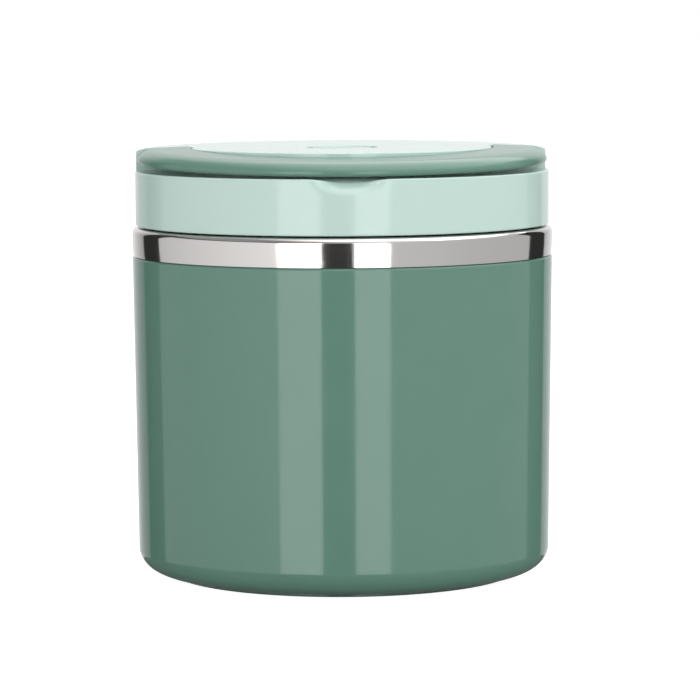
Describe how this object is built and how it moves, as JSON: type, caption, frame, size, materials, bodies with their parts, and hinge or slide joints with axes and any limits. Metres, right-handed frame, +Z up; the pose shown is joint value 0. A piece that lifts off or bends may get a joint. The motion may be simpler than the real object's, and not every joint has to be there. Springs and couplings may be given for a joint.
{
  "type": "insulated food jar",
  "caption": "Insulated food jar: foam-filled green plastic jacket round a steel pot, screw lid with a vent plug and a half-ring carry handle that folds down into its top.",
  "frame": {"origin": "middle of the base, on the surface that the jar stands on", "axes": "+Z up along the jar's axis, -Y towards the finger notch at the front, hinge axis along X"},
  "size_m": [0.122, 0.122, 0.1252],
  "materials": {
    "jacket_plastic": "deep sage-green polypropylene, moulded gloss",
    "lid_plastic": "pale mint-green polypropylene, moulded gloss",
    "liner_plastic": "off-white polypropylene, satin",
    "polished_steel": "spun stainless steel, mirror polished",
    "pot_steel": "drawn stainless steel, fine satin inside",
    "pin_steel": "drawn stainless wire, cut and chamfered",
    "silicone": "translucent white silicone, matt",
    "vent_silicone": "mint-green silicone, matt",
    "foam": "rigid insulation foam, cream"
  },
  "bodies": {
    "jar": {"outer_shell": "jacket_plastic", "base_cover": "jacket_plastic", "foam_base": "foam", "foam_sleeve": "foam", "collar_seal": "silicone", "steel_collar": "polished_steel", "inner_pot": "pot_steel"},
    "seal": {"gasket": "silicone"},
    "lid": {"lid_cover": "lid_plastic", "lid_liner": "liner_plastic", "lid_foam": "foam", "pivot_pin_left": "pin_steel", "pivot_pin_right": "pin_steel"},
    "handle": {"handle": "jacket_plastic"},
    "vent": {"vent_plug": "vent_silicone"}
  },
  "joints": [
    {"name": "lid_rise", "type": "slide", "parent": "jar", "child": "seal", "axis": [0, 0, 1], "range_m": [0, 0.016]},
    {"name": "lid_turn", "type": "hinge", "parent": "seal", "child": "lid", "pos_m": [0, 0, 0], "axis": [0, 0, 1], "range_deg": [0, 360]},
    {"name": "handle_fold", "type": "hinge", "parent": "lid", "child": "handle", "pos_m": [0, 0, 0.1223], "axis": [-1, 0, 0], "range_deg": [0, 100]},
    {"name": "vent_lift", "type": "slide", "parent": "lid", "child": "vent", "axis": [0, 0, 1], "range_m": [0, 0.003]}
  ],
  "couplings": [
    {"joint": "lid_rise", "follows": "lid_turn", "m_per_rad": 0.0025465}
  ]
}
